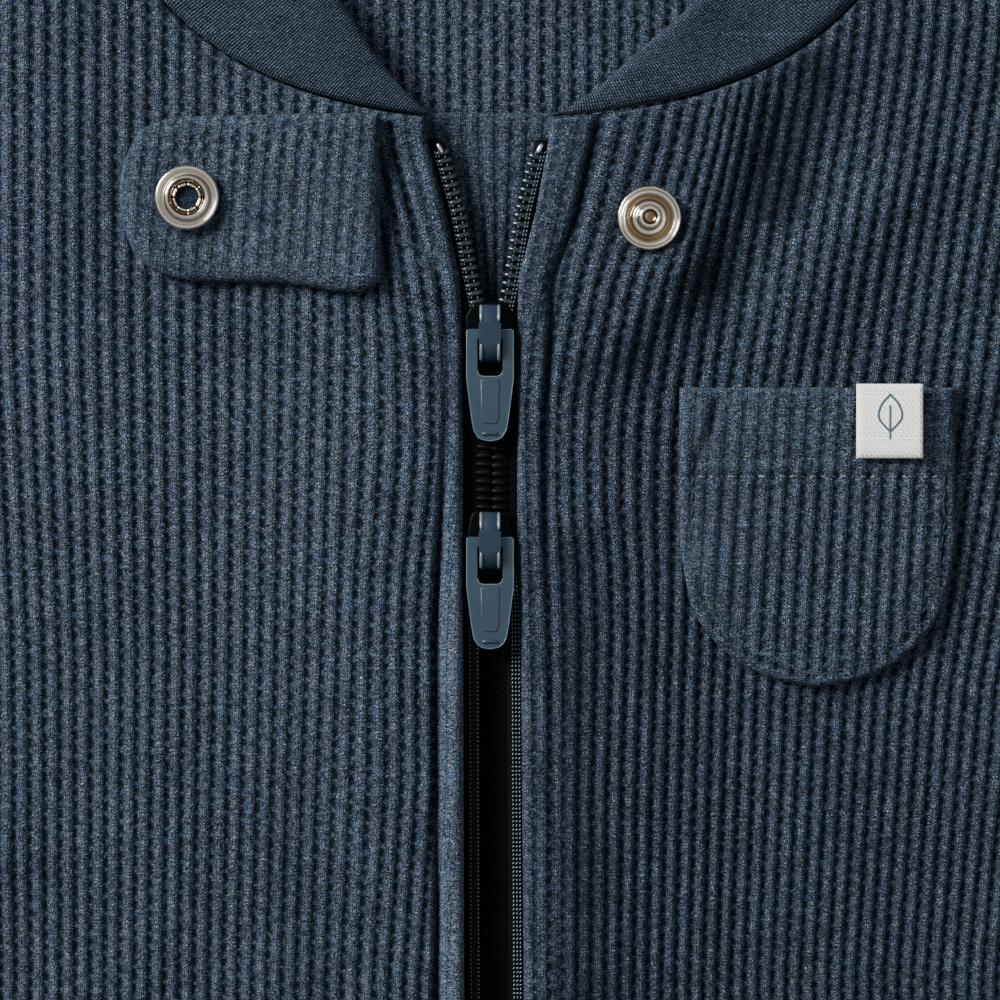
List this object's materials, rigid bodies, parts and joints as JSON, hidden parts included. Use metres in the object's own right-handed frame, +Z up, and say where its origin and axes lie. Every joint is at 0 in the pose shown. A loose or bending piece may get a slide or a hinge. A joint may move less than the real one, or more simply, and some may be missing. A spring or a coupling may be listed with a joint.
{
  "type": "onesie pajama",
  "caption": "Baby's footless one-piece sleeper in ribbed waffle knit, laid flat, with a two-way zip, snap tab, chest pocket, rib neckband and cuffs.",
  "frame": {"origin": "on the table under the middle of the garment's bounding box", "axes": "+Y from the ankles to the head, +X to the onlooker's right (the wearer's left), +Z up from the table"},
  "size_m": [0.5136, 0.5644, 0.0115],
  "materials": {
    "waffle_knit": "heathered navy cotton waffle knit, fuzzy, matt",
    "rib_knit": "heathered navy fine rib knit, matt",
    "zip_backing": "black plain woven strip, matt",
    "zip_tape": "black woven zip tape with nylon coil",
    "slider_enamel": "dark navy enamel, satin",
    "pull_enamel": "blue-grey enamel, glossy",
    "woven_label": "cream woven ribbon label, matt",
    "snap_nickel": "warm nickel plate, satin, pressed rings"
  },
  "bodies": {
    "garment": {"back": "waffle_knit", "front_right": "waffle_knit", "front_left": "waffle_knit", "sleeve_right": "waffle_knit", "sleeve_left": "waffle_knit", "neckband_right": "rib_knit", "neckband_left": "rib_knit", "neckband_back": "rib_knit", "wrist_cuff_right": "rib_knit", "wrist_cuff_left": "rib_knit", "ankle_cuff_right": "rib_knit", "ankle_cuff_left": "rib_knit", "zip_guard": "waffle_knit", "zip_backing": "zip_backing", "zip_tape_right": "zip_tape", "zip_tape_left": "zip_tape", "slider_upper": "slider_enamel", "slider_lower": "slider_enamel", "tab": "waffle_knit", "pocket": "waffle_knit", "label": "woven_label", "snap_socket": "snap_nickel", "snap_stud": "snap_nickel"},
    "upper_pull": {"pull_upper": "pull_enamel"},
    "lower_pull": {"pull_lower": "pull_enamel"}
  },
  "joints": [
    {"name": "upper_pull_swing", "type": "hinge", "parent": "garment", "child": "upper_pull", "pos_m": [-0.0003, 0.19555, 0.0082], "axis": [-1, 0, 0], "range_deg": [0, 165]},
    {"name": "lower_pull_swing", "type": "hinge", "parent": "garment", "child": "lower_pull", "pos_m": [-0.0003, 0.16425, 0.0082], "axis": [-1, 0, 0], "range_deg": [0, 165]}
  ]
}
